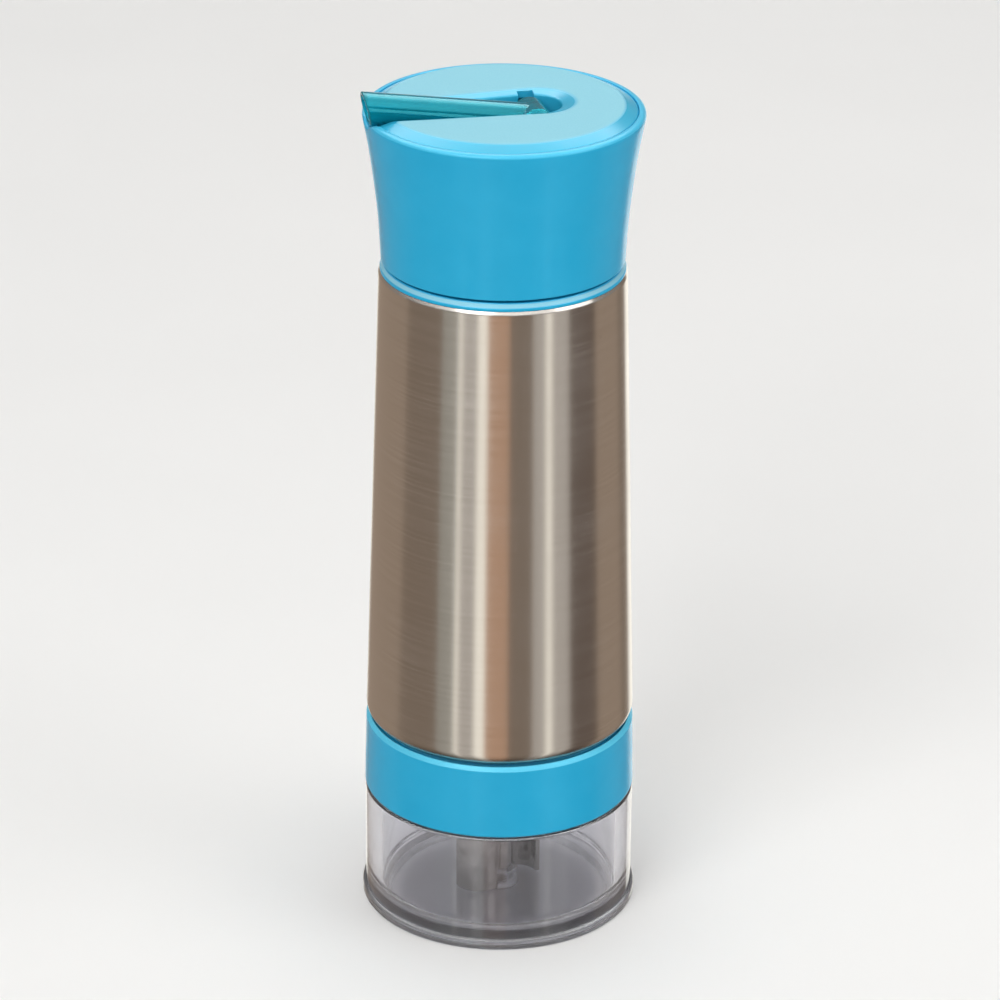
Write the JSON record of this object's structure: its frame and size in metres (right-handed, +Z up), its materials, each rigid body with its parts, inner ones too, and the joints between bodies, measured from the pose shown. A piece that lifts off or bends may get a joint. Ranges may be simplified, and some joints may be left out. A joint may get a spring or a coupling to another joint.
{
  "type": "fruit infuser water bottle",
  "caption": "Steel water bottle with a twist-on clear fruit grinder cup in its base, a screw lid and a flip-up drinking spout with a straw.",
  "frame": {"origin": "on the table, at the centre of the cup's foot", "axes": "+Z up along the bottle's axis, -X the way the folded spout points"},
  "size_m": [0.0747, 0.0746, 0.2334],
  "materials": {
    "clear_cup": "clear moulded, polished",
    "aqua_plastic": "satin moulded",
    "liner_plastic": "moulded, natural white",
    "spout_plastic": "translucent moulded",
    "straw_plastic": "translucent extruded",
    "brushed_steel": "brushed round the body",
    "blade_steel": "satin",
    "grinder_plastic": "moulded, fibre filled",
    "silicone": "moulded"
  },
  "bodies": {
    "cup": {"infuser_cup": "clear_cup"},
    "cup_seal": {"cup_gasket": "silicone"},
    "base_seal": {"base_gasket": "silicone"},
    "bottle": {"base_collar": "aqua_plastic", "steel_body": "brushed_steel", "filter_screen": "blade_steel", "clamp_ring": "grinder_plastic", "grinder_plate": "grinder_plastic", "plate_screws": "blade_steel", "grinder_blade": "blade_steel", "grinder_shaft": "blade_steel", "shaft_nut": "blade_steel", "neck_collar": "aqua_plastic", "neck_seal": "silicone"},
    "lid_seal": {"lid_gasket": "silicone"},
    "straw": {"straw": "straw_plastic"},
    "lid": {"lid_shell": "aqua_plastic", "lid_deck": "aqua_plastic", "lid_liner": "liner_plastic", "spout_seal": "silicone", "vent_valve": "silicone"},
    "spout": {"spout": "spout_plastic"}
  },
  "joints": [
    {"name": "bottle_lift_off", "type": "slide", "parent": "cup", "child": "cup_seal", "axis": [0, 0, 1], "range_m": [0, 0.048]},
    {"name": "bottle_climb", "type": "slide", "parent": "cup_seal", "child": "base_seal", "axis": [0, 0, 1], "range_m": [0, 0.01]},
    {"name": "bottle_twist", "type": "hinge", "parent": "base_seal", "child": "bottle", "pos_m": [0, 0, 0.0334], "axis": [0, 0, 1], "range_deg": [0, 720]},
    {"name": "lid_lift_off", "type": "slide", "parent": "bottle", "child": "lid_seal", "axis": [0, 0, 1], "range_m": [0, 0.14]},
    {"name": "lid_turn", "type": "hinge", "parent": "lid_seal", "child": "straw", "pos_m": [0, 0, 0.1861], "axis": [0, 0, 1], "range_deg": [0, 540]},
    {"name": "lid_climb", "type": "slide", "parent": "straw", "child": "lid", "axis": [0, 0, 1], "range_m": [0, 0.006]},
    {"name": "spout_flip", "type": "hinge", "parent": "lid", "child": "spout", "pos_m": [0.0076, 0, 0.2222], "axis": [0, 1, 0], "range_deg": [0, 81.5]}
  ],
  "couplings": [
    {"joint": "bottle_climb", "follows": "bottle_twist", "m_per_rad": 0.0007957},
    {"joint": "lid_climb", "follows": "lid_turn", "m_per_rad": 0.00063656}
  ]
}
